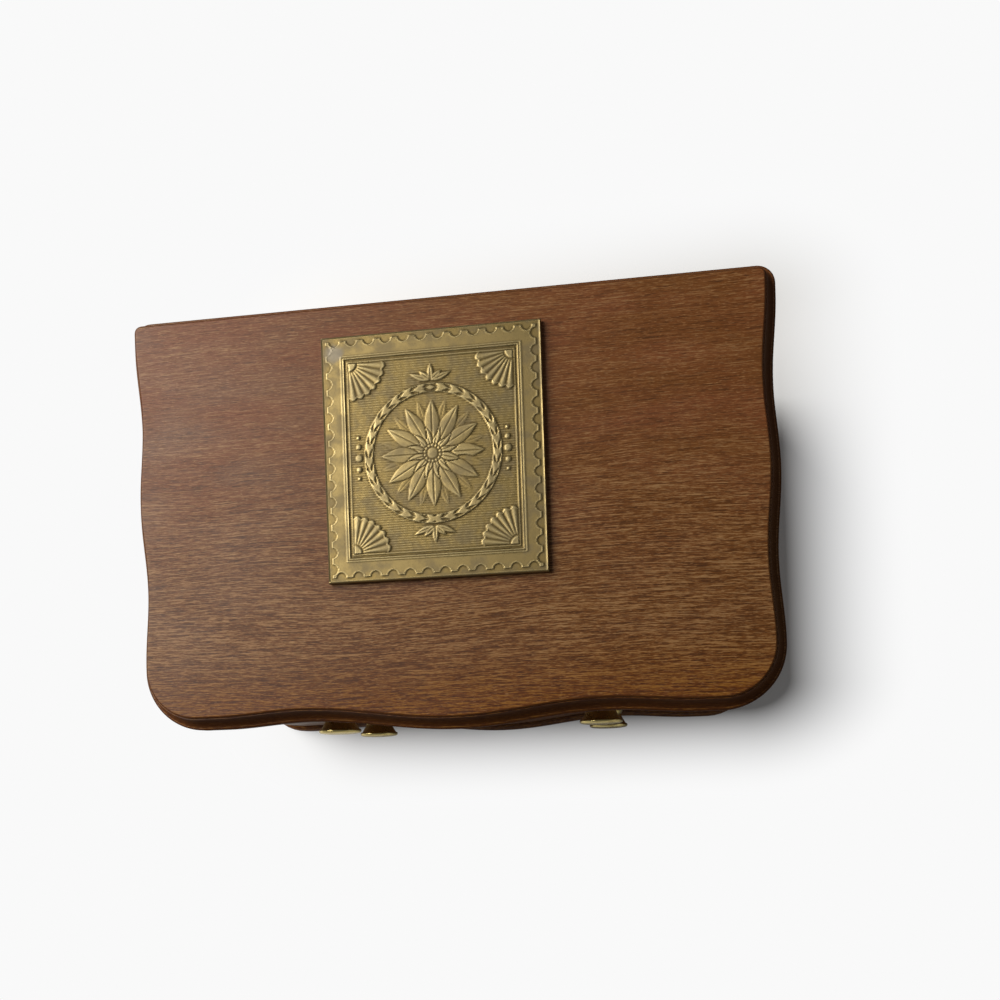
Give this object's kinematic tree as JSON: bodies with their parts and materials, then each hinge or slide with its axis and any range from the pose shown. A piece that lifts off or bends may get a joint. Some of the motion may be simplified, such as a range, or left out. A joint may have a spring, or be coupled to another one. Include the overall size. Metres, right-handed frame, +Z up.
{
  "type": "trinket box",
  "caption": "Small wooden trinket chest with a serpentine front, a cove-moulded top board, a brass relief plaque and two sliding drawers with turned brass knobs.",
  "frame": {"origin": "on the floor, under the middle of the top board", "axes": "+X to the right along the front, +Y to the back, +Z up; the drawers slide out along -Y"},
  "size_m": [0.1828, 0.1212, 0.0954],
  "materials": {
    "walnut": "oiled, semi-matt, fine straight grain along the length",
    "drawer_wood": "bare, sanded",
    "aged_brass": "pressed relief, antiqued, with dark recesses and rubbed high points",
    "brass": "turned, polished and lacquered",
    "steel": "zinc plated",
    "felt": "dark green wool felt"
  },
  "bodies": {
    "carcass": {"top_board": "walnut", "left_side": "walnut", "right_side": "walnut", "back_panel": "walnut", "drawer_divider": "walnut", "base_board": "walnut", "base_screw_front_left": "steel", "base_screw_front_right": "steel", "base_screw_back_left": "steel", "base_screw_back_right": "steel", "felt_pad_front_left": "felt", "felt_pad_front_right": "felt", "felt_pad_back_left": "felt", "felt_pad_back_right": "felt", "brass_plaque": "aged_brass"},
    "upper_drawer": {"upper_drawer_front": "walnut", "upper_drawer_left_wall": "drawer_wood", "upper_drawer_right_wall": "drawer_wood", "upper_drawer_back_wall": "drawer_wood", "upper_drawer_bottom": "drawer_wood", "upper_drawer_lining": "felt", "upper_left_knob": "brass", "upper_right_knob": "brass", "upper_left_knob_screw": "steel", "upper_right_knob_screw": "steel"},
    "lower_drawer": {"lower_drawer_front": "walnut", "lower_drawer_left_wall": "drawer_wood", "lower_drawer_right_wall": "drawer_wood", "lower_drawer_back_wall": "drawer_wood", "lower_drawer_bottom": "drawer_wood", "lower_drawer_lining": "felt", "lower_left_knob": "brass", "lower_right_knob": "brass", "lower_left_knob_screw": "steel", "lower_right_knob_screw": "steel"}
  },
  "joints": [
    {"name": "upper_drawer_slide", "type": "slide", "parent": "carcass", "child": "upper_drawer", "axis": [0, -1, 0], "range_m": [0, 0.08]},
    {"name": "lower_drawer_slide", "type": "slide", "parent": "carcass", "child": "lower_drawer", "axis": [0, -1, 0], "range_m": [0, 0.08]}
  ]
}
